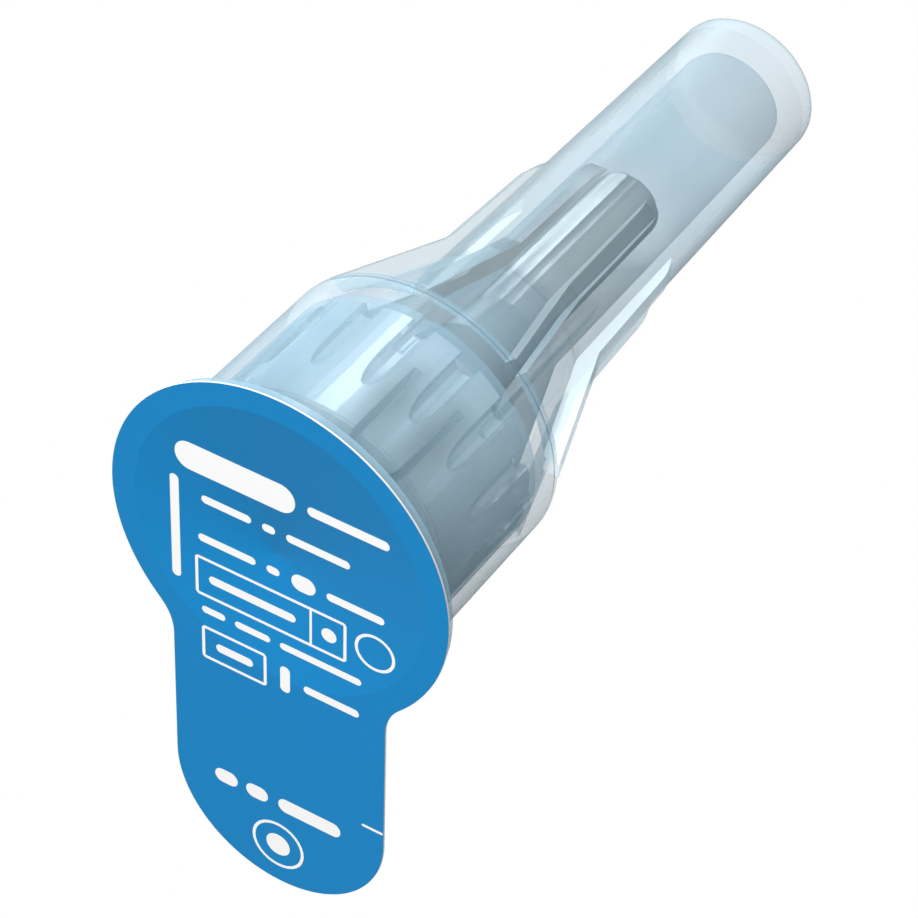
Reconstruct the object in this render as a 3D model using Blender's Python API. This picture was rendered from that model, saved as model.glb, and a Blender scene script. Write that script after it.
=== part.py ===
# Pen needle in its sealed outer cover, in metres, with the needle's axis along +Z.
# The seal's outer face lies at z = 0, the cover's closed end is at the top and the tab points to -Y.
import math

import bpy
import bmesh
from mathutils import Matrix

for old in list(bpy.data.objects):
    bpy.data.objects.remove(old, do_unlink=True)

MM = 0.001

# Pen socket and hub wall
SOCKET_RADIUS = 4.8 * MM
SOCKET_DEPTH = 5.4 * MM
SOCKET_CHAMFER = 0.35 * MM
HUB_WALL = 1.58 * MM
HUB_RECESS = 2.6 * MM
HUB_ROOF = 0.9 * MM
HUB_EDGE = 0.12 * MM
HUB_SIDES = 80

# Lands, flutes and click fingers round the hub
LAND_HEIGHT = 0.55 * MM
LAND_DEPTH = 0.68 * MM
HUB_TURN = 9.0
FLUTE_COUNT = 16
FLUTE_HALF_WIDTH = 0.56 * MM
FLUTE_OFFSET = 0.06 * MM
FLUTE_START = 2.15 * MM
FLUTE_TIP_LENGTH = 2.0 * MM
FLUTE_SIDES = 10
NOTCH_HALF_WIDTH = 0.5 * MM
NOTCH_STEP = 0.03 * MM
FINGER_COUNT = 4
FINGER_HALF_ANGLE = 11.25
SLOT_HALF_WIDTH = 0.2 * MM
SLOT_TOP_MARGIN = 0.9 * MM

# Seat for the shield and nose for the needle
SEAT_RADIUS = 2.1 * MM
SEAT_HEIGHT = 2.7 * MM
SEAT_EDGE = 0.2 * MM
NOSE_RADIUS_LOW = 1.55 * MM
NOSE_RADIUS_HIGH = 1.0 * MM
NOSE_LENGTH = 3.4 * MM
NOSE_EDGE = 0.12 * MM
LOWER_BOSS_RADIUS = 1.35 * MM
LOWER_BOSS_LENGTH = 1.4 * MM
LOWER_BOSS_TAPER = 0.3 * MM

# Needle tube, glue and the hole that holds them
CANNULA_RADIUS = 0.127 * MM
CANNULA_WALL = 0.061 * MM
CANNULA_EXPOSED = 6.0 * MM
CANNULA_REAR = 4.7 * MM
CANNULA_GRIND = 0.9 * MM
CANNULA_SIDES = 24
NEEDLE_CLEARANCE = 0.043 * MM
WELL_RADIUS = 0.55 * MM
WELL_DEPTH = 0.9 * MM
GLUE_GAP = 0.02 * MM
GLUE_CROWN = 0.18 * MM
GLUE_LIFT = 0.1 * MM
GLUE_SIDES = 32

# Inner shield
SHIELD_BASE_GAP = 0.2 * MM
SHIELD_SEAT_CLEARANCE = 0.07 * MM
SHIELD_SEAT_OVERLAP = 0.3 * MM
SHIELD_BASE_WALL = 0.78 * MM
SHIELD_NOSE_ROOM = 0.35 * MM
SHIELD_WAIST_HEIGHT = 8.1 * MM
SHIELD_WAIST_BORE = 1.05 * MM
SHIELD_WAIST_WALL = 0.71 * MM
SHIELD_NECK_PULL = 0.75
SHIELD_TIP_ROOM = 5.92 * MM
SHIELD_TIP_BORE = 0.92 * MM
SHIELD_TIP_WALL = 0.76 * MM
SHIELD_END_WALL = 0.9 * MM
SHIELD_CORNER = 0.22 * MM
SHIELD_EDGE = 0.1 * MM
GROOVE_COUNT = 6
GROOVE_TURN = 39.0
GROOVE_DEPTH = 0.04 * MM
GROOVE_SHARE = 0.4
SHIELD_SIDES = 60

# Outer cover, chamber round the hub
HUB_CLEARANCE = 0.11 * MM
HUB_HEADROOM = 0.3 * MM
BORE_DRAFT = 0.07 * MM
BODY_WALL = 0.52 * MM
BODY_DRAFT = 0.12 * MM
SHOULDER_WALL = 1.07 * MM
SHOULDER_CORNER = 0.3 * MM
SHOULDER_LEDGE = 0.97 * MM
CHAMBER_CORNER = 0.1 * MM
COVER_SIDES = 80

# Outer cover, flange and mouth
FLANGE_OVERHANG = 1.1 * MM
FLANGE_THICKNESS = 0.54 * MM
FLANGE_EDGE = 0.08 * MM
FLANGE_FILLET = 0.45 * MM
WELD_WIDTH = 0.98 * MM
MOUTH_STEP = 0.23 * MM
MOUTH_TAPER = 0.9 * MM

# Outer cover, cone and tube
CONE_LENGTH = 6.18 * MM
CONE_WALL = 0.79 * MM
CONE_FILLET = 0.25 * MM
CONE_BLEND = 0.2 * MM
TUBE_ROOM = 1.04 * MM
TUBE_WALL_LOW = 1.25 * MM
TUBE_BORE_DRAFT = 0.18 * MM
TUBE_WALL_HIGH = 1.03 * MM
TUBE_END_ROOM = 9.4 * MM
TUBE_END_WALL = 1.4 * MM
TUBE_END_CORNER = 0.45 * MM
TUBE_INNER_CORNER = 0.5 * MM
INNER_CONE_RISE = 0.6 * MM
INNER_CONE_LIP = 0.3 * MM

# Outer cover, outside fins
FIN_COUNT = 8
FIN_ROOT_WIDTH = 0.84 * MM
FIN_CREST_WIDTH = 0.72 * MM
FIN_FOOT_INSET = 0.075 * MM
FIN_FOOT_RISE = 0.04 * MM
FIN_TUCK = 0.25 * MM
FIN_HEIGHT = 0.55 * MM
FIN_BEND_RISE = 0.93 * MM
FIN_BEND_EASE = 0.2 * MM
FIN_RUN = 5.7 * MM
FIN_END_HEIGHT = 0.41 * MM
FIN_RUNOUT = 1.55 * MM

# Outer cover, drive ribs that stand in every second flute of the hub
RIB_COUNT = 8
RIB_REACH = 0.12 * MM
RIB_SIDE_GAP = 0.32 * MM
RIB_END_GAP = 2.6 * MM

# Peel seal
SEAL_OVERLAP = 0.17 * MM
SEAL_THICKNESS = 0.1 * MM
SEAL_GAP = 0.02 * MM
TAB_WIDTH = 10.84 * MM
TAB_REACH = 11.49 * MM
TAB_FILLET = 2.4 * MM

# Steps of the round corners, and how far the cutters pass the faces that they cut
SEAL_STEPS = 120
TAB_STEPS = 48
TAB_FILLET_STEPS = 8
LARGE_CORNER_STEPS = 4
SMALL_CORNER_STEPS = 3
CUT_MARGIN = 0.5 * MM
WELD_DISTANCE = 0.002 * MM
SHARP_ANGLE = 32.0

# Materials as name, colour, roughness, metallic and alpha
SEAL_LOOK = ("seal_laminate", (0.015, 0.235, 0.54), 0.35, 0.0, 1.0)
COVER_LOOK = ("cover_plastic", (0.62, 0.76, 0.82), 0.25, 0.0, 0.45)
HUB_LOOK = ("hub_plastic", (0.66, 0.8, 0.86), 0.25, 0.0, 0.5)
SHIELD_LOOK = ("shield_plastic", (0.7, 0.84, 0.9), 0.3, 0.0, 0.6)
GLUE_LOOK = ("glue", (0.8, 0.82, 0.78), 0.15, 0.0, 0.6)
NEEDLE_LOOK = ("needle_steel", (0.72, 0.73, 0.75), 0.2, 1.0, 1.0)

# Heights that follow from the sizes above, from the seal upward
hub_bottom = HUB_RECESS
roof_under = hub_bottom + SOCKET_DEPTH
roof_top = roof_under + HUB_ROOF
land_top = roof_top + LAND_HEIGHT
seat_top = roof_top + SEAT_HEIGHT
nose_top = seat_top + NOSE_LENGTH
flute_tip = hub_bottom + FLUTE_START
needle_low = roof_under - CANNULA_REAR
needle_top = nose_top + GLUE_CROWN + CANNULA_EXPOSED
shield_base = roof_top + SHIELD_BASE_GAP
shield_seat_end = seat_top + SHIELD_SEAT_OVERLAP
shield_waist = shield_base + SHIELD_WAIST_HEIGHT
shield_ceiling = needle_top + SHIELD_TIP_ROOM
shield_top = shield_ceiling + SHIELD_END_WALL
chamber_top = land_top + HUB_HEADROOM
shoulder_top = chamber_top + SHOULDER_WALL
tube_start = shoulder_top + CONE_LENGTH
bore_end = shield_top + TUBE_END_ROOM
cover_top = bore_end + TUBE_END_WALL
cover_low = SEAL_THICKNESS + SEAL_GAP
mouth_end = cover_low + MOUTH_STEP
flange_back = cover_low + FLANGE_THICKNESS

# Radii that follow from the sizes above, from the axis outward
hub_radius = SOCKET_RADIUS + HUB_WALL
land_inner = hub_radius - LAND_DEPTH
needle_hole = CANNULA_RADIUS + NEEDLE_CLEARANCE
shield_seat_bore = SEAT_RADIUS + SHIELD_SEAT_CLEARANCE
shield_base_radius = shield_seat_bore + SHIELD_BASE_WALL
shield_waist_radius = SHIELD_WAIST_BORE + SHIELD_WAIST_WALL
shield_tip_radius = SHIELD_TIP_BORE + SHIELD_TIP_WALL
bore_high = hub_radius + HUB_CLEARANCE
bore_low = bore_high + BORE_DRAFT
body_high = bore_high + BODY_WALL
body_low = body_high + BODY_DRAFT
flange_radius = body_low + FLANGE_OVERHANG
mouth_radius = flange_radius - WELD_WIDTH
seal_radius = flange_radius + SEAL_OVERLAP
cone_root = body_high - SHOULDER_LEDGE
inner_cone_root = cone_root - CONE_WALL
tube_bore_low = shield_waist_radius + TUBE_ROOM
tube_low = tube_bore_low + TUBE_WALL_LOW
tube_bore_high = tube_bore_low - TUBE_BORE_DRAFT
tube_high = tube_bore_high + TUBE_WALL_HIGH


def between(low, high, share):
    return low + (high - low) * share


def arc(cx, cy, radius, start, end, steps):
    points = []
    for i in range(steps + 1):
        angle = math.radians(between(start, end, i / steps))
        points.append((cx + radius * math.cos(angle), cy + radius * math.sin(angle)))
    return points


def turned(profile, sides):
    # A closed profile of radius and height is spun round the axis, with no edge along the axis.
    mesh = bmesh.new()
    verts = [mesh.verts.new((radius, 0.0, height)) for radius, height in profile]
    edges = []
    for first, second in zip(verts, verts[1:] + verts[:1]):
        if first.co.x > 0.0 or second.co.x > 0.0:
            edges.append(mesh.edges.new((first, second)))
    full = 2.0 * math.pi
    bmesh.ops.spin(mesh, geom=verts + edges, axis=(0.0, 0.0, 1.0), angle=full, steps=sides, use_merge=True)
    bmesh.ops.remove_doubles(mesh, verts=mesh.verts, dist=WELD_DISTANCE / 2)
    return mesh


def extruded(outline, shift):
    # A flat outline is extruded by the shift. The moved corners come back too.
    mesh = bmesh.new()
    face = mesh.faces.new([mesh.verts.new(point) for point in outline])
    grown = bmesh.ops.extrude_face_region(mesh, geom=[face])["geom"]
    moved = [item for item in grown if isinstance(item, bmesh.types.BMVert)]
    bmesh.ops.translate(mesh, verts=moved, vec=shift)
    return mesh, moved


def block(inner, outer, width, low, high):
    # An upright block on the +X side, from the inner radius to the outer one.
    mesh = bmesh.new()
    bmesh.ops.create_cube(mesh, size=1.0)
    bmesh.ops.scale(mesh, verts=mesh.verts, vec=(outer - inner, width, high - low))
    bmesh.ops.translate(mesh, verts=mesh.verts, vec=((inner + outer) / 2, 0.0, (low + high) / 2))
    return mesh


def turn(mesh, verts, degrees):
    matrix = Matrix.Rotation(math.radians(degrees), 3, "Z")
    bmesh.ops.rotate(mesh, verts=verts, cent=(0.0, 0.0, 0.0), matrix=matrix)


def around(mesh, angles):
    # The mesh is turned to the first angle and copied to each further one.
    turn(mesh, mesh.verts, angles[0])
    first = list(mesh.verts) + list(mesh.edges) + list(mesh.faces)
    for angle in angles[1:]:
        copy = bmesh.ops.duplicate(mesh, geom=first)["geom"]
        turn(mesh, [item for item in copy if isinstance(item, bmesh.types.BMVert)], angle - angles[0])
    return mesh


def evenly(count, start):
    return [start + 360.0 * k / count for k in range(count)]


def made(name, mesh):
    bmesh.ops.recalc_face_normals(mesh, faces=mesh.faces)
    data = bpy.data.meshes.new(name)
    mesh.to_mesh(data)
    mesh.free()
    thing = bpy.data.objects.new(name, data)
    bpy.context.scene.collection.objects.link(thing)
    return thing


def combine(thing, other, operation):
    # The Boolean is applied at once and the other object removed.
    change = thing.modifiers.new("change", "BOOLEAN")
    change.operation = operation
    change.solver = "EXACT"
    change.object = other
    bpy.context.view_layer.update()
    graph = bpy.context.evaluated_depsgraph_get()
    result = bpy.data.meshes.new_from_object(thing.evaluated_get(graph))
    thing.modifiers.clear()
    before = thing.data
    thing.data = result
    bpy.data.meshes.remove(before)
    bpy.data.objects.remove(other, do_unlink=True)


def finish(thing, look):
    mesh = bmesh.new()
    mesh.from_mesh(thing.data)
    bmesh.ops.remove_doubles(mesh, verts=mesh.verts, dist=WELD_DISTANCE)
    bmesh.ops.dissolve_degenerate(mesh, edges=mesh.edges, dist=WELD_DISTANCE)
    mesh.to_mesh(thing.data)
    mesh.free()
    thing.data.name = thing.name
    thing.data.shade_smooth()
    thing.data.set_sharp_from_angle(angle=math.radians(SHARP_ANGLE))
    name, colour, rough, metal, alpha = look
    material = bpy.data.materials.new(name)
    material.use_nodes = True
    shader = material.node_tree.nodes["Principled BSDF"]
    shader.inputs["Base Color"].default_value = (*colour, 1.0)
    shader.inputs["Roughness"].default_value = rough
    shader.inputs["Metallic"].default_value = metal
    shader.inputs["Alpha"].default_value = alpha
    thing.data.materials.clear()
    thing.data.materials.append(material)


def make_seal():
    # One flat laminate: a disc with a round-ended pull tab, joined by two fillets.
    half = TAB_WIDTH / 2
    across = half + TAB_FILLET
    down = math.sqrt((seal_radius + TAB_FILLET) ** 2 - across ** 2)
    meet = math.degrees(math.atan2(down, across))
    tab_centre = seal_radius + TAB_REACH - half
    outline = arc(0.0, 0.0, seal_radius, -meet, 180.0 + meet, SEAL_STEPS)
    outline += arc(-across, -down, TAB_FILLET, meet, 0.0, TAB_FILLET_STEPS)[1:]
    outline += arc(0.0, -tab_centre, half, 180.0, 360.0, TAB_STEPS)
    outline += arc(across, -down, TAB_FILLET, 180.0, 180.0 - meet, TAB_FILLET_STEPS)[:-1]
    mesh, moved = extruded([(x, y, 0.0) for x, y in outline], (0.0, 0.0, SEAL_THICKNESS))
    seal = made("peel_seal", mesh)
    finish(seal, SEAL_LOOK)


def tube_outer(height):
    share = (height - tube_start) / (cover_top - tube_start)
    return between(tube_low, tube_high, share)


def cover_shell():
    # Profile of the whole cover, up the outside and back down the inside.
    rim = flange_radius - FLANGE_EDGE
    fillet = FLANGE_FILLET
    corner = SHOULDER_CORNER
    root = CONE_FILLET
    blend = tube_start + CONE_BLEND
    end = TUBE_END_CORNER
    inner = TUBE_INNER_CORNER
    small = CHAMBER_CORNER
    profile = [(mouth_radius, cover_low), (rim, cover_low)]
    profile += [(flange_radius, cover_low + FLANGE_EDGE), (flange_radius, flange_back - FLANGE_EDGE)]
    profile += [(rim, flange_back)]
    profile += arc(body_low + fillet, flange_back + fillet, fillet, 270.0, 180.0, SMALL_CORNER_STEPS)
    profile += arc(body_high - corner, shoulder_top - corner, corner, 0.0, 90.0, LARGE_CORNER_STEPS)
    profile += arc(cone_root + root, shoulder_top + root, root, 270.0, 198.0, SMALL_CORNER_STEPS)
    profile += [(tube_low + CONE_BLEND / 5, tube_start - CONE_BLEND), (tube_outer(blend), blend)]
    profile += arc(tube_high - end, cover_top - end, end, 0.0, 90.0, LARGE_CORNER_STEPS)
    profile += [(0.0, cover_top), (0.0, bore_end)]
    profile += arc(tube_bore_high - inner, bore_end - inner, inner, 90.0, 0.0, SMALL_CORNER_STEPS)
    profile += [(tube_bore_low, tube_start + INNER_CONE_RISE)]
    profile += [(inner_cone_root, chamber_top + INNER_CONE_LIP)]
    profile += [(inner_cone_root + INNER_CONE_LIP / 2, chamber_top)]
    profile += arc(bore_high - small, chamber_top - small, small, 90.0, 0.0, SMALL_CORNER_STEPS)
    profile += [(bore_low, mouth_end + MOUTH_TAPER), (mouth_radius, mouth_end)]
    return turned(profile, COVER_SIDES)


def cover_fins():
    # A fin climbs from the shoulder's edge along the cone, bends, and runs out on the tube.
    bend = tube_start + FIN_BEND_RISE
    stop = bend + FIN_RUN
    tip = stop + FIN_RUNOUT
    foot = body_high - FIN_FOOT_INSET
    root = tube_bore_low + TUBE_WALL_LOW / 2
    sunk = shoulder_top - SHOULDER_WALL / 2
    crest = tube_outer(bend) + FIN_HEIGHT
    section = [(foot - FIN_TUCK, sunk), (foot, shoulder_top - FIN_TUCK)]
    section += [(foot, shoulder_top + FIN_FOOT_RISE), (crest + FIN_BEND_EASE / 3, bend - FIN_BEND_EASE)]
    section += [(crest, bend)]
    for k in range(LARGE_CORNER_STEPS):
        share = k / LARGE_CORNER_STEPS
        height = between(stop, tip, share)
        section += [(tube_outer(height) + FIN_END_HEIGHT * (1.0 - share ** 2), height)]
    section += [(tube_outer(tip), tip), (root, tip), (root, tube_start + INNER_CONE_RISE)]
    section += [(inner_cone_root + CONE_WALL / 2, shoulder_top), (cone_root, sunk)]
    mesh, moved = extruded([(radius, 0.0, height) for radius, height in section], (0.0, 0.0, 0.0))
    for vert in mesh.verts:
        half = between(FIN_ROOT_WIDTH, FIN_CREST_WIDTH, (vert.co.x - root) / (foot - root)) / 2
        vert.co.y = half if vert in moved else -half
    return around(mesh, evenly(FIN_COUNT, 0.0))


def cover_ribs():
    width = 2 * (FLUTE_HALF_WIDTH - RIB_SIDE_GAP)
    outer = bore_high + BODY_WALL / 2
    top = chamber_top + SHOULDER_WALL / 2
    rib = block(hub_radius - RIB_REACH, outer, width, flute_tip + RIB_END_GAP, top)
    return around(rib, evenly(RIB_COUNT, HUB_TURN))


def make_cover():
    cover = made("outer_cover", cover_shell())
    combine(cover, made("fins", cover_fins()), "UNION")
    combine(cover, made("ribs", cover_ribs()), "UNION")
    finish(cover, COVER_LOOK)


def hub_body():
    # Profile of the hub: outside wall, rim, roof, seat, nose, glue well, needle hole and socket.
    boss_end = roof_under - LOWER_BOSS_LENGTH
    profile = [(SOCKET_RADIUS + SOCKET_CHAMFER, hub_bottom), (hub_radius - HUB_EDGE, hub_bottom)]
    profile += [(hub_radius, hub_bottom + HUB_EDGE), (hub_radius, land_top - HUB_EDGE)]
    profile += [(hub_radius - HUB_EDGE, land_top), (land_inner, land_top), (land_inner, roof_top)]
    profile += [(SEAT_RADIUS, roof_top), (SEAT_RADIUS, seat_top - SEAT_EDGE)]
    profile += [(SEAT_RADIUS - SEAT_EDGE, seat_top), (NOSE_RADIUS_LOW, seat_top)]
    profile += [(NOSE_RADIUS_HIGH, nose_top - NOSE_EDGE), (NOSE_RADIUS_HIGH - NOSE_EDGE, nose_top)]
    profile += [(WELL_RADIUS, nose_top), (needle_hole, nose_top - WELL_DEPTH), (needle_hole, boss_end)]
    profile += [(LOWER_BOSS_RADIUS - LOWER_BOSS_TAPER, boss_end), (LOWER_BOSS_RADIUS, roof_under)]
    profile += [(SOCKET_RADIUS, roof_under), (SOCKET_RADIUS, hub_bottom + SOCKET_CHAMFER)]
    return turned(profile, HUB_SIDES)


def hub_flutes():
    # Each flute is cut by an upright round bar with a long blunt tip.
    top = land_top + CUT_MARGIN
    bar = []
    for k in range(LARGE_CORNER_STEPS + 1):
        angle = math.radians(90.0 * k / LARGE_CORNER_STEPS)
        rise = FLUTE_TIP_LENGTH * (1.0 - math.cos(angle))
        bar.append((FLUTE_HALF_WIDTH * math.sin(angle), flute_tip + rise))
    bar += [(FLUTE_HALF_WIDTH, top), (0.0, top)]
    mesh = turned(bar, FLUTE_SIDES)
    turn(mesh, mesh.verts, 180.0 / FLUTE_SIDES)
    bmesh.ops.translate(mesh, verts=mesh.verts, vec=(hub_radius + FLUTE_OFFSET, 0.0, 0.0))
    return around(mesh, evenly(FLUTE_COUNT, HUB_TURN))


def hub_notches():
    # The rim is cut right through above each flute, which leaves the lands.
    inner = land_inner - CUT_MARGIN
    outer = hub_radius + CUT_MARGIN
    notch = block(inner, outer, 2 * NOTCH_HALF_WIDTH, roof_top + NOTCH_STEP, land_top + CUT_MARGIN)
    return around(notch, evenly(FLUTE_COUNT, HUB_TURN))


def hub_slots():
    # Two slots, each under a land beside one flute, set free each click finger in the socket's wall.
    low = hub_bottom - CUT_MARGIN
    high = roof_under - SLOT_TOP_MARGIN
    slot = block(SOCKET_RADIUS - CUT_MARGIN, hub_radius + CUT_MARGIN, 2 * SLOT_HALF_WIDTH, low, high)
    angles = []
    for middle in evenly(FINGER_COUNT, HUB_TURN + 360.0 / FLUTE_COUNT):
        angles += [middle - FINGER_HALF_ANGLE, middle + FINGER_HALF_ANGLE]
    return around(slot, angles)


def make_hub():
    hub = made("needle_hub", hub_body())
    combine(hub, made("flutes", hub_flutes()), "DIFFERENCE")
    combine(hub, made("notches", hub_notches()), "DIFFERENCE")
    combine(hub, made("slots", hub_slots()), "DIFFERENCE")
    finish(hub, HUB_LOOK)


def make_glue():
    # A ring round the needle in the nose's well, with a domed top.
    hole = CANNULA_RADIUS + GLUE_GAP
    low = nose_top - WELL_DEPTH + GLUE_LIFT
    rim = WELL_RADIUS - GLUE_GAP
    profile = [(hole, low), (hole + GLUE_GAP, low), (rim, nose_top)]
    for k in range(1, SMALL_CORNER_STEPS + 1):
        share = k / SMALL_CORNER_STEPS
        rise = GLUE_CROWN * math.sin(math.radians(90.0 * share))
        profile.append((between(rim, hole, share), nose_top + rise))
    glue = made("glue_bead", turned(profile, GLUE_SIDES))
    finish(glue, GLUE_LOOK)


def make_cannula():
    # A hollow tube with both ends ground on a slant.
    bore = CANNULA_RADIUS - CANNULA_WALL
    profile = [(CANNULA_RADIUS, needle_low), (CANNULA_RADIUS, needle_top)]
    profile += [(bore, needle_top), (bore, needle_low)]
    mesh = turned(profile, CANNULA_SIDES)
    middle = (needle_low + needle_top) / 2
    for vert in mesh.verts:
        slant = CANNULA_GRIND * (0.5 + 0.5 * vert.co.x / CANNULA_RADIUS)
        vert.co.z += slant if vert.co.z < middle else -slant
    needle = made("cannula", mesh)
    finish(needle, NEEDLE_LOOK)


def groove_depth(angle, height):
    # The grooves start halfway up the neck and reach their depth at the waist.
    fade = 2.0 * (height - shield_base) / (shield_waist - shield_base) - 1.0
    wave = math.cos(GROOVE_COUNT * (angle - math.radians(GROOVE_TURN)))
    depth = max(0.0, wave - 1.0 + GROOVE_SHARE) / GROOVE_SHARE
    return GROOVE_DEPTH * depth * min(1.0, max(0.0, fade))


def make_shield():
    # A closed tube with long shallow grooves, seated over the hub's collar.
    edge = SHIELD_EDGE
    corner = SHIELD_CORNER
    seat_radius = shield_base_radius - edge
    neck_radius = between(seat_radius, shield_waist_radius, SHIELD_NECK_PULL)
    neck = between(shield_seat_end, shield_waist, 0.5)
    profile = [(shield_seat_bore + edge, shield_base), (seat_radius, shield_base)]
    profile += [(shield_base_radius, shield_base + edge), (seat_radius, shield_seat_end)]
    profile += [(neck_radius, neck), (shield_waist_radius, shield_waist)]
    profile += arc(shield_tip_radius - corner, shield_top - corner, corner, 0.0, 90.0, SMALL_CORNER_STEPS)
    profile += [(0.0, shield_top), (0.0, shield_ceiling), (SHIELD_TIP_BORE - edge, shield_ceiling)]
    profile += [(SHIELD_TIP_BORE, shield_ceiling - edge), (SHIELD_WAIST_BORE, shield_waist)]
    profile += [(NOSE_RADIUS_LOW + SHIELD_NOSE_ROOM, between(shield_seat_end, neck, 0.5))]
    profile += [(shield_seat_bore, shield_seat_end), (shield_seat_bore, shield_base + edge)]
    mesh = turned(profile, SHIELD_SIDES)
    inside = between(SHIELD_WAIST_BORE, shield_waist_radius, 0.5)
    for vert in mesh.verts:
        radius = math.hypot(vert.co.x, vert.co.y)
        if vert.co.z > shield_seat_end and radius > inside:
            share = 1.0 - groove_depth(math.atan2(vert.co.y, vert.co.x), vert.co.z) / radius
            vert.co.x *= share
            vert.co.y *= share
    shield = made("inner_shield", mesh)
    finish(shield, SHIELD_LOOK)


make_seal()
make_cover()
make_hub()
make_glue()
make_cannula()
make_shield()
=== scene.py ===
# Pen needle in its sealed cover: looks, print, floor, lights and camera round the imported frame.
import math

import bpy
from mathutils import Matrix, Vector


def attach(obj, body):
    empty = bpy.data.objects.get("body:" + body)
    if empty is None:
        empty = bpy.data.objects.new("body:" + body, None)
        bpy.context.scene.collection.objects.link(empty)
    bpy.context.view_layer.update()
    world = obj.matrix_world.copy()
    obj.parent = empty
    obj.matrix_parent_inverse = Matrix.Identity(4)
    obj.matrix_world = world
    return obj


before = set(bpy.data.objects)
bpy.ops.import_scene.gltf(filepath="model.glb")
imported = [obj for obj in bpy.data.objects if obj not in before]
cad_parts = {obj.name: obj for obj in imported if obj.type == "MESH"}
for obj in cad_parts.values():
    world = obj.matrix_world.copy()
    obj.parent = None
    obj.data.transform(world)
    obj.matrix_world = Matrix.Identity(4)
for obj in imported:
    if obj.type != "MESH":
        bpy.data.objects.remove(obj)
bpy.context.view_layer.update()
mm = 0.001
print("frame loaded")


class Wire:
    # One output of a node. Arithmetic on it adds Math nodes.
    def __init__(self, nodes, output):
        self.nodes = nodes
        self.output = output

    def maths(self, kind, *values):
        return self.nodes.add("Math", {"operation": kind}, dict(enumerate(values)))

    def __add__(self, other):
        return self.maths("ADD", self, other)

    def __radd__(self, other):
        return self.maths("ADD", other, self)

    def __sub__(self, other):
        return self.maths("SUBTRACT", self, other)

    def __rsub__(self, other):
        return self.maths("SUBTRACT", other, self)

    def __mul__(self, other):
        return self.maths("MULTIPLY", self, other)

    def __rmul__(self, other):
        return self.maths("MULTIPLY", other, self)

    def __pow__(self, other):
        return self.maths("POWER", self, other)

    def __abs__(self):
        return self.maths("ABSOLUTE", self)

    def __gt__(self, other):
        return self.maths("GREATER_THAN", self, other)

    def __lt__(self, other):
        return self.maths("LESS_THAN", self, other)

    def least(self, other):
        return self.maths("MINIMUM", self, other)

    def most(self, other):
        return self.maths("MAXIMUM", self, other)


class Nodes:
    # A node tree with one way to add a node
    def __init__(self, tree):
        self.tree = tree

    def add(self, kind, settings=None, sockets=None, output=0):
        node = self.tree.nodes.new("ShaderNode" + kind)
        for name, value in (settings or {}).items():
            setattr(node, name, value)
        for name, value in (sockets or {}).items():
            self.feed(node.inputs[name], value)
        return Wire(self, node.outputs[output])

    def feed(self, socket, value):
        if isinstance(value, Wire):
            self.tree.links.new(value.output, socket)
        elif socket.type == "RGBA":
            socket.default_value = (*value, 1.0)
        else:
            socket.default_value = value

    def blend(self, share, first, second):
        return self.add("Mix", {"data_type": "RGBA"}, {0: share, 6: first, 7: second}, 2)

    def dot(self, first, second):
        return self.add("VectorMath", {"operation": "DOT_PRODUCT"}, {0: first, 1: second}, "Value")

    def noise(self, where, scale, detail):
        return self.add("TexNoise", None, {"Vector": where, "Scale": scale, "Detail": detail})

    def where(self):
        return self.add("TexCoord", output="Object")

    def axes(self, where):
        return [self.add("SeparateXYZ", None, {0: where}, axis) for axis in range(3)]


def startMaterial(name):
    material = bpy.data.materials.new(name)
    material.use_nodes = True
    return material, Nodes(material.node_tree), material.node_tree.nodes["Principled BSDF"].inputs


def useOn(nodeName, material):
    bpy.data.objects[nodeName].material_slots[0].material = material


def fromAxis(x, y):
    return (x * x + y * y) ** 0.5


def between(height, low, high):
    return (height > low * mm) * (height < high * mm)


def climb(height, start, run, floor=0.0):
    return ((height - start * mm) * (1.0 / (run * mm))).least(1.0).most(floor)


def hump(distance, steepness):
    return 1.0 - (abs(distance) * steepness).least(1.0)


# Clear moulded plastic: thin tinted walls, denser and darker where they are seen edge on
plastic = {"facing": 0.35, "sideOn": 0.85, "hazeScale": 260.0, "hazeDetail": 3.0, "hazeAlpha": 0.015,
           "rough": 0.55, "hazeRough": 0.1, "lineTint": 0.7, "thinLineInside": 5.5}


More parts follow.
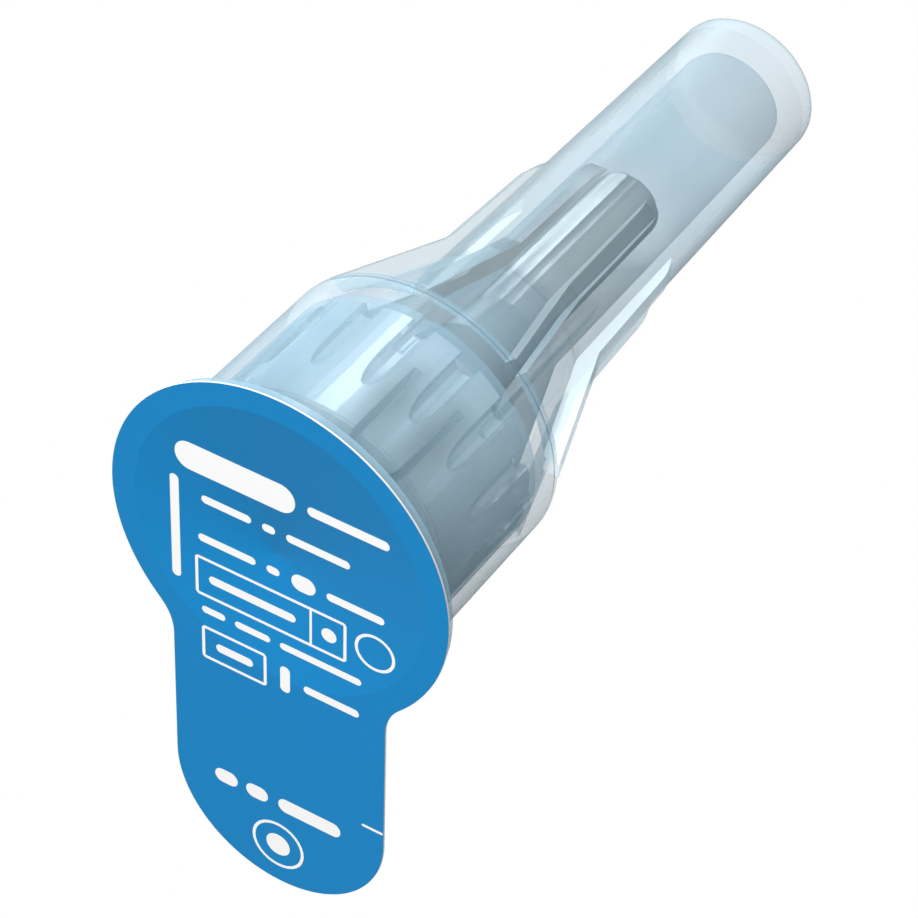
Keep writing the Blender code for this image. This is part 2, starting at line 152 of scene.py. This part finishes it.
def clearPlastic(name, settings, tone):
    material, nodes, surface = startMaterial(name)
    where = nodes.where()
    x, y, z = nodes.axes(where)
    radius = fromAxis(x, y)
    flat = nodes.add("NewGeometry", output="Normal")
    outward = nodes.add("CombineXYZ", None, {"X": x, "Y": y})
    outward = nodes.add("VectorMath", {"operation": "NORMALIZE"}, {0: outward})
    across = nodes.add("VectorMath", {"operation": "CROSS_PRODUCT"}, {0: (0.0, 0.0, 1.0), 1: outward})
    across = abs(nodes.dot(across, flat)) > plastic["sideOn"]   # side faces of ribs and slots
    facing = nodes.add("LayerWeight", None, {"Blend": plastic["facing"]}, "Facing")
    place = {"x": x, "y": y, "z": z, "radius": radius, "across": across, "facing": facing}
    colour, alpha, coat, edge = tone(nodes, settings, place)
    rim = facing ** settings["edgePower"] * edge
    haze = nodes.noise(where, plastic["hazeScale"], plastic["hazeDetail"]) - 0.5
    rounded = nodes.add("Bevel", {"samples": 4}, {"Radius": settings["lineWidth"] * mm})
    line = ((1.0 - abs(nodes.dot(rounded, flat))) * settings["lineGain"]).least(1.0)   # 1 along sharp edges
    # Along sharp edges a dark line is painted as painted shade. On the cover's tube the line is light instead, a
    # painted highlight.
    lineColour = nodes.blend(radius < plastic["thinLineInside"] * mm, settings["line"], settings["thinLine"])
    colour = nodes.blend(line * plastic["lineTint"], nodes.blend(rim, colour, settings["edge"]), lineColour)
    alpha = rim * (settings["edgeAlpha"] - alpha) + alpha + haze * plastic["hazeAlpha"]
    alpha = alpha.most(line * settings["lineAlpha"])
    shadow = nodes.add("LightPath", output="Is Shadow Ray")
    nodes.feed(surface["Base Color"], colour)
    nodes.feed(surface["Alpha"], alpha * (1.0 - shadow * settings["passes"]))   # light passes the walls
    nodes.feed(surface["Roughness"], plastic["rough"] + haze * plastic["hazeRough"])
    nodes.feed(surface["Coat Weight"], (1.0 - rim) * coat)
    nodes.feed(surface["Normal"], rounded)
    surface["Coat Roughness"].default_value = settings["gloss"]
    surface["Coat IOR"].default_value = settings["glossIndex"]
    surface["Specular IOR Level"].default_value = 0.0
    return material


# Cover: its outer skin and, inside, the bore, the chamber and the tube. Round the shield its inner wall is dense
# and painted darker as shade, and this clears towards the tube's empty far end.
cover = {
    "outer": (0.42, 0.65, 0.79), "inner": (0.28, 0.42, 0.49), "deep": (0.16, 0.26, 0.31),
    "side": (0.24, 0.33, 0.37), "paintedLitFlank": (0.58, 0.7, 0.75), "edge": (0.32, 0.43, 0.48),
    # line: painted dark shade along sharp edges; thinLine: painted highlight along the tube's edges
    "line": (0.17, 0.3, 0.38), "thinLine": (0.8, 0.88, 0.9),
    "outerAlpha": 0.18, "tubeBack": 0.42, "beside": 0.3, "sideGain": 1.4, "flankAlpha": 0.42, "flangeAlpha": 0.42,
    "innerAlpha": 0.3, "nearAlpha": 0.04, "farAlpha": 0.56, "ringAlpha": 0.6,
    "edgeAlpha": 0.9, "edgePower": 1.6, "edgeShare": 0.72, "innerFade": 0.65, "flankFade": 0.8,
    "cornerFade": 0.6, "flangeFade": 0.3, "lineWidth": 0.04, "lineAlpha": 0.75, "lineGain": 3.5,
    "coat": 0.2, "innerCoat": 0.06, "cornerDull": 0.8, "chamberDull": 0.5,
    "gloss": 0.22, "glossIndex": 3.0, "passes": 0.8,
}
# Heights and radii at which its walls change, in millimetres
walls = {
    "flangeTop": 0.75, "boreRadius": 6.8, "boreTop": 10.0, "chamberTop": 10.1, "anyRadius": 20.0,
    "ring": (10.3, 10.4), "corner": (10.3, 10.8), "coneRadius": 3.4, "coneTop": 17.3, "coneSlope": 0.331,
    "tubeRadius": 3.3, "tubeLow": 16.5, "hollow": 26.4, "hollowRun": 2.2, "tubeHigh": 37.6, "cavityEnd": 38.1,
}


def coverTone(nodes, settings, place):
    z, radius, across = place["z"], place["radius"], place["across"]
    # Which wall, and which stretch of it
    footRadius = (walls["coneRadius"] + walls["coneTop"] * walls["coneSlope"]) * mm
    limit = (footRadius - z * walls["coneSlope"]).most(walls["tubeRadius"] * mm)
    limit = (limit + (z < walls["boreTop"] * mm) * (walls["anyRadius"] * mm)).least(walls["boreRadius"] * mm)
    inner = (radius < limit) * (z < walls["cavityEnd"] * mm)
    hollow = climb(z, walls["hollow"], walls["hollowRun"])   # the empty far end of the tube
    chamber = z < walls["chamberTop"] * mm
    flange = z < walls["flangeTop"] * mm
    corner = between(z, *walls["corner"]) * (1.0 - inner)
    # ring: a painted dark line of shade where the shoulder begins
    ring = between(z, *walls["ring"]) * (radius > walls["boreRadius"] * mm)   # line where the shoulder begins
    back = nodes.add("NewGeometry", output="Backfacing")
    glossy = nodes.add("LightPath", output="Is Glossy Ray")
    tube = between(z, walls["tubeLow"], walls["tubeHigh"]) * (1.0 - glossy)
    beside = place["facing"] * tube * (1.0 - back)
    # How much each wall covers
    outer = back * tube * (settings["tubeBack"] - settings["outerAlpha"])
    outer = outer + beside * settings["beside"] + settings["outerAlpha"]
    outer = outer + across * (settings["flankAlpha"] - outer)
    outer = outer + flange * (settings["flangeAlpha"] - outer)
    # the far inner wall round the shield is dense, a sheet of painted shade behind the shield
    within = back.most(glossy) * (settings["nearAlpha"] - settings["farAlpha"]) + settings["farAlpha"]
    within = within + (settings["innerAlpha"] - within) * hollow
    within = within + (settings["outerAlpha"] - within) * chamber
    alpha = (inner * (within - outer) + outer).most(ring * settings["ringAlpha"])
    # Its colour, its gloss and its share of the darker edge
    # deep: painted shade on the inner wall round the shield
    wall = nodes.blend(hollow, settings["deep"], settings["inner"])
    wall = nodes.blend(chamber, wall, settings["outer"])
    skin = nodes.blend((beside * settings["sideGain"]).least(1.0), settings["outer"], settings["side"])
    # painted light: side faces of ribs and slots get a lighter colour
    skin = nodes.blend(across, skin, settings["paintedLitFlank"])
    colour = nodes.blend(ring, nodes.blend(inner, skin, wall), settings["line"])
    coat = settings["coat"] - inner * (settings["coat"] - settings["innerCoat"])
    coat = coat * (1.0 - corner * settings["cornerDull"]) * (1.0 - chamber * settings["chamberDull"])
    edge = 1.0 - inner * (z > walls["tubeLow"] * mm) * settings["innerFade"]
    edge = edge * (1.0 - across * settings["flankFade"])
    edge = edge * (settings["edgeShare"] + (z > walls["tubeHigh"] * mm) * (1.0 - settings["edgeShare"]))
    edge = edge * (1.0 - corner * settings["cornerFade"]) * (1.0 - flange * settings["flangeFade"])
    return colour, alpha, coat, edge


# Hub: milky, with soft painted shade beside each slot standing in for its shaded inside. Turns are in degrees,
# heights in millimetres.
hub = {
    "colour": (0.46, 0.565, 0.625), "shade": (0.13, 0.125, 0.12), "edge": (0.23, 0.35, 0.42),
    "line": (0.11, 0.2, 0.26), "thinLine": (0.11, 0.2, 0.26),
    "slotTurn": 31.5, "slotPeriod": 45.0, "slotMiddle": 11.25, "slotGain": 5.5,
    "shadeHeight": 5.0, "shadeReach": 2.8, "shadePower": 0.6, "sideClear": 0.55,
    "alpha": 0.68, "edgeAlpha": 0.95, "edgePower": 1.6, "lineWidth": 0.09, "lineAlpha": 0.92, "lineGain": 9.0,
    "coat": 0.32, "gloss": 0.16, "glossIndex": 2.6, "passes": 0.7,
}


def hubTone(nodes, settings, place):
    turn = place["y"].maths("ARCTAN2", place["y"], place["x"]) - math.radians(settings["slotTurn"])
    turn = turn.maths("PINGPONG", turn, math.radians(settings["slotPeriod"]))
    beside = hump(turn - math.radians(settings["slotMiddle"]), settings["slotGain"])
    tall = hump(place["z"] - settings["shadeHeight"] * mm, 1.0 / (settings["shadeReach"] * mm))
    # painted shade: a soft dark patch beside each slot, strongest at mid height
    shade = (beside * tall) ** settings["shadePower"]
    colour = nodes.blend(shade, settings["colour"], settings["shade"])
    clear = 1.0 - place["across"] * settings["sideClear"]
    return colour, clear * settings["alpha"], settings["coat"], clear


# Shield: smoky, its colour paler towards its root. Heights are in millimetres.
shield = {
    "colour": (0.15, 0.18, 0.19), "root": (0.42, 0.5, 0.54), "edge": (0.06, 0.09, 0.10),
    "line": (0.10, 0.13, 0.14), "thinLine": (0.10, 0.13, 0.14),
    "rootTop": 15.0, "rootRun": 6.0, "shineFrom": 18.2, "shineRun": 1.6, "dullShare": 0.45,
    "alpha": 0.95, "edgeAlpha": 0.98, "edgePower": 1.6, "lineWidth": 0.08, "lineAlpha": 0.98, "lineGain": 3.5,
    "coat": 0.5, "gloss": 0.16, "glossIndex": 3.0, "passes": 0.4,
}


def shieldTone(nodes, settings, place):
    up = climb(place["z"], settings["rootTop"], settings["rootRun"])
    shine = climb(place["z"], settings["shineFrom"], settings["shineRun"], settings["dullShare"])
    colour = nodes.blend(up, settings["root"], settings["colour"])
    return colour, settings["alpha"], shine * settings["coat"], 1.0


useOn("outer_cover", clearPlastic("cover_clear", cover, coverTone))
useOn("needle_hub", clearPlastic("hub_clear", hub, hubTone))
useOn("inner_shield", clearPlastic("shield_smoky", shield, shieldTone))
print("plastics done")

# Needle: steel drawn along its length
needle = {"steel": (0.62, 0.64, 0.66), "worn": (0.5, 0.52, 0.55), "grainScale": 9000.0, "grainDetail": 4.0,
          "stretch": 0.04, "rough": 0.2, "grainRough": 0.16}


def needleMaterial(settings):
    material, nodes, surface = startMaterial("steel_drawn")
    x, y, z = nodes.axes(nodes.where())
    along = nodes.add("CombineXYZ", None, {"X": x, "Y": y, "Z": z * settings["stretch"]})
    grain = nodes.noise(along, settings["grainScale"], settings["grainDetail"])
    nodes.feed(surface["Base Color"], nodes.blend(grain, settings["steel"], settings["worn"]))
    nodes.feed(surface["Roughness"], grain * settings["grainRough"] + settings["rough"])
    surface["Metallic"].default_value = 1.0
    return material


# Glue: clear, set round the needle. Its waves are in metres.
glue = {"clear": (0.78, 0.8, 0.76), "cloudy": (0.66, 0.69, 0.66), "cloudScale": 1500.0, "cloudDetail": 3.0,
        "rough": 0.23, "cloudRough": 0.14, "waves": 0.00002, "waveStrength": 0.5}


def glueMaterial(settings):
    material, nodes, surface = startMaterial("glue_set")
    cloud = nodes.noise(nodes.where(), settings["cloudScale"], settings["cloudDetail"])
    waves = {"Height": cloud * settings["waves"], "Distance": 1.0, "Strength": settings["waveStrength"]}
    nodes.feed(surface["Base Color"], nodes.blend(cloud, settings["clear"], settings["cloudy"]))
    nodes.feed(surface["Roughness"], cloud * settings["cloudRough"] + settings["rough"])
    nodes.feed(surface["Normal"], nodes.add("Bump", None, waves))
    return material


useOn("cannula", needleMaterial(needle))
useOn("glue_bead", glueMaterial(glue))
print("needle and glue done")

# Seal: printed blue laminate with a white paper edge, sunk a little inside its weld
seal = {"blue": (0.012, 0.235, 0.55), "deep": (0.006, 0.17, 0.42), "paper": (0.92, 0.9, 0.86),
        "grainScale": 2200.0, "grainDetail": 4.0, "grainTint": 0.12, "grainHeight": 0.002, "grainRough": 0.12,
        "inkDepth": 0.004, "weldRadius": 7.25, "slope": 0.26, "rough": 0.44, "specular": 0.06}


def sealMaterial(settings):
    material, nodes, surface = startMaterial("seal_printed")
    where = nodes.where()
    x, y, z = nodes.axes(where)
    grain = nodes.noise(where, settings["grainScale"], settings["grainDetail"])
    blue = nodes.blend(grain * settings["grainTint"], settings["blue"], settings["deep"])
    edge = z > settings["inkDepth"] * mm
    dish = fromAxis(x, y).least(settings["weldRadius"] * mm) + grain * (settings["grainHeight"] * mm)
    nodes.feed(surface["Base Color"], nodes.blend(edge, blue, settings["paper"]))
    nodes.feed(surface["Roughness"], grain * settings["grainRough"] + settings["rough"])
    nodes.feed(surface["Normal"], nodes.add("Bump", None, {"Height": dish, "Distance": settings["slope"]}))
    surface["Specular IOR Level"].default_value = settings["specular"]
    return material


useOn("peel_seal", sealMaterial(seal))
print("seal done")

# Print: plain bars, frames and rings of white ink, in millimetres
printed = {"thickness": 0.005, "lift": 0.003, "line": 0.15, "cornerSteps": 8, "barRound": 0.49, "frameRound": 0.99,
           "white": (0.99, 0.99, 0.99), "thin": (0.95, 0.97, 0.98), "grainScale": 2600.0, "grainDetail": 3.0,
           "grainTint": 0.4, "grainRough": 0.1, "rough": 0.45, "specular": 0.1}
# Two sides, low end and high end of each, and for the frames and the divider the corners' radius too
bars = [
    (5.1, -0.9, 2.45, 3.95), (-1.5, -5.5, 2.95, 3.45),
    (3.8, 1.3, 0.94, 1.36), (0.75, 0.1, 0.94, 1.36), (-0.45, -3.6, 0.94, 1.36),
    (4.0, 1.1, -1.31, -0.89), (0.55, -0.1, -1.31, -0.89), (-0.7, -1.9, -1.55, -0.65), (-2.45, -5.3, -1.31, -0.89),
    (3.5, -0.9, -3.56, -3.1), (-2.2, -2.95, -3.7, -2.95),
    (3.9, 2.7, -5.42, -5.04), (2.2, 0.4, -5.42, -5.04), (-0.1, -4.2, -5.42, -5.04),
    (3.2, 1.3, -7.39, -6.93), (-0.1, -0.6, -7.9, -6.4), (-1.3, -4.1, -7.37, -6.95),
    (5.4, 4.95, -4.0, 1.8),
    (3.4, 2.2, -15.35, -14.55), (1.75, 0.6, -15.35, -14.55), (0.05, -3.2, -15.35, -14.55),
    (0.7, -0.54, -18.24, -17.0), (-4.3, -5.38, -13.78, -13.64),
]
frames = [
    (4.2, -3.45, -4.45, -2.2, 0.2), (3.93, 0.6, -8.1, -6.2, 0.2),
    (-3.86, -5.86, -4.1, -2.1, 1.0), (1.44, -1.28, -18.98, -16.26, 1.36),
]
divider = (-1.6, -1.72, -4.29, -2.36, 0.01)


def inkShape(left, right, low, high, corner, line=None):
    bpy.ops.object.select_all(action="DESELECT")
    bpy.ops.mesh.primitive_plane_add(size=1.0, location=((left + right) / 2 * mm, (low + high) / 2 * mm, 0.0))
    shape = bpy.context.object
    shape.scale = (abs(left - right) * mm, abs(high - low) * mm, 1.0)
    bpy.ops.object.transform_apply(location=True, rotation=True, scale=True)
    bpy.ops.object.mode_set(mode="EDIT")
    bpy.ops.mesh.select_all(action="SELECT")
    bpy.ops.mesh.bevel(offset=corner * mm, segments=printed["cornerSteps"], affect="VERTICES")
    if line:
        bpy.ops.mesh.select_all(action="SELECT")
        bpy.ops.mesh.inset(thickness=line * mm)
        bpy.ops.mesh.delete(type="FACE")
    bpy.ops.object.mode_set(mode="OBJECT")
    return shape


def inkMaterial(settings):
    material, nodes, surface = startMaterial("ink_white")
    grain = nodes.noise(nodes.where(), settings["grainScale"], settings["grainDetail"])
    ink = nodes.blend(grain * settings["grainTint"], settings["white"], settings["thin"])
    nodes.feed(surface["Base Color"], ink)
    nodes.feed(surface["Roughness"], grain * settings["grainRough"] + settings["rough"])
    surface["Specular IOR Level"].default_value = settings["specular"]
    return material


def sealPrint(settings):
    shapes = []
    for left, right, low, high in bars:
        corner = min(abs(left - right), abs(high - low)) * settings["barRound"]
        shapes.append(inkShape(left, right, low, high, corner))
    for left, right, low, high, corner in frames:
        shapes.append(inkShape(left, right, low, high, corner * settings["frameRound"], settings["line"]))
    shapes.append(inkShape(*divider))
    bpy.ops.object.select_all(action="DESELECT")
    for shape in shapes:
        shape.select_set(True)
    bpy.context.view_layer.objects.active = shapes[0]
    bpy.ops.object.join()
    ink = bpy.context.object
    ink.name = "seal_print"
    for vert in ink.data.vertices:
        vert.co.z = -settings["lift"] * mm
    solid = ink.modifiers.new("thickness", "SOLIDIFY")
    solid.thickness = settings["thickness"] * mm
    solid.offset = 0.0
    bpy.ops.object.modifier_apply(modifier="thickness")
    ink.data.materials.clear()
    ink.data.materials.append(inkMaterial(settings))
    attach(ink, "root")


sealPrint(printed)
print("print done")

# Floor that shows from above only, pale by its own glow. Its size is in metres, its level in millimetres.
ground = {"size": 1.2, "level": -0.05, "pale": (0.5, 0.5, 0.5), "speckled": (0.48, 0.48, 0.48),
          "glow": (0.5, 0.5, 0.5), "speckleScale": 30.0, "speckleDetail": 4.0, "speckleTint": 0.5, "rough": 0.9}
bpy.ops.mesh.primitive_plane_add(size=ground["size"], location=(0.0, 0.0, ground["level"] * mm))
floor = bpy.context.object
floor.name = "floor"
material, nodes, surface = startMaterial("floor_pale")
speckle = nodes.noise(nodes.where(), ground["speckleScale"], ground["speckleDetail"])
floorColour = nodes.blend(speckle * ground["speckleTint"], ground["pale"], ground["speckled"])
fromAbove = 1.0 - nodes.add("NewGeometry", output="Backfacing")
nodes.feed(surface["Base Color"], floorColour)
nodes.feed(surface["Emission Color"], ground["glow"])
nodes.feed(surface["Emission Strength"], 1.0)
nodes.feed(surface["Roughness"], ground["rough"])
nodes.feed(surface["Alpha"], nodes.add("LightPath", output="Is Camera Ray") * fromAbove)
floor.data.materials.append(material)

# World: white behind everything, plain soft light on the object
white = (1.0, 1.0, 1.0)
ambient = 0.3
world = bpy.data.worlds.new("studio")
bpy.context.scene.world = world
world.use_nodes = True
nodes = Nodes(world.node_tree)
seen = nodes.add("LightPath", output="Is Camera Ray")
seen = seen.most(nodes.add("LightPath", output="Is Glossy Ray"))
seen = seen.most(nodes.add("LightPath", output="Is Transmission Ray"))
background = world.node_tree.nodes["Background"].inputs
nodes.feed(background["Color"], white)
nodes.feed(background["Strength"], seen * (1.0 - ambient) + ambient)

# Lamps: a broad one below the seal, a soft fill behind, and high narrow ones whose glints run along the walls
cool = (0.82, 0.94, 1.0)
lampCentre = Vector((0.0, 0.0, 0.015))
lamps = {
    "front": {"azimuth": 92.0, "height": -46.0, "far": 0.4, "size": (0.3, 0.3), "power": 1.68, "colour": white},
    "key": {"azimuth": 68.0, "height": 37.0, "far": 0.4, "size": (0.13, 0.06), "power": 0.32,
            "colour": (0.85, 0.95, 1.0)},
    "strip": {"azimuth": 27.0, "height": 46.3, "far": 0.43, "size": (0.7, 0.05), "power": 1.45, "colour": cool},
    "sideStrip": {"azimuth": -20.0, "height": 44.5, "far": 0.43, "size": (0.45, 0.05), "power": 0.14,
                  "colour": cool},
    "backStrip": {"azimuth": 128.0, "height": 45.0, "far": 0.43, "size": (0.6, 0.05), "power": 0.16,
                  "colour": white},
    "fill": {"azimuth": 215.0, "height": 15.0, "far": 0.4, "size": (0.3, 0.3), "power": 0.04, "colour": white},
}
for name, settings in lamps.items():
    light = bpy.data.lights.new(name, "AREA")
    light.shape = "RECTANGLE"
    light.size, light.size_y = settings["size"]
    light.energy = settings["power"]
    light.color = settings["colour"]
    lamp = bpy.data.objects.new(name, light)
    bpy.context.scene.collection.objects.link(lamp)
    turn = math.radians(settings["azimuth"])
    rise = math.radians(settings["height"])
    toward = Vector((math.cos(turn) * math.cos(rise), math.sin(turn) * math.cos(rise), math.sin(rise)))
    lamp.location = lampCentre + toward * settings["far"]
    lamp.rotation_euler = toward.to_track_quat("Z", "Y").to_euler()
print("stage and lamps done")

# Camera: below the seal, on the photograph's side
view = {"right": (-0.84084477, 0.02268724, 0.54080067), "up": (0.37675861, 0.74188801, 0.55466668),
        "place": (-0.07338369, 0.12127661, -0.10535459), "sensor": 36.0, "lens": 168.02,
        "nearest": 0.001, "farthest": 10.0}
camera = bpy.data.objects.new("camera", bpy.data.cameras.new("camera"))
bpy.context.scene.collection.objects.link(camera)
right = Vector(view["right"])
up = Vector(view["up"])
turned = Matrix((right, up, right.cross(up))).transposed()
camera.matrix_world = Matrix.Translation(view["place"]) @ turned.to_4x4()
camera.data.sensor_width = view["sensor"]
camera.data.lens = view["lens"]
camera.data.clip_start = view["nearest"]
camera.data.clip_end = view["farthest"]
bpy.context.scene.camera = camera

bpy.context.scene.view_settings.view_transform = "Standard"
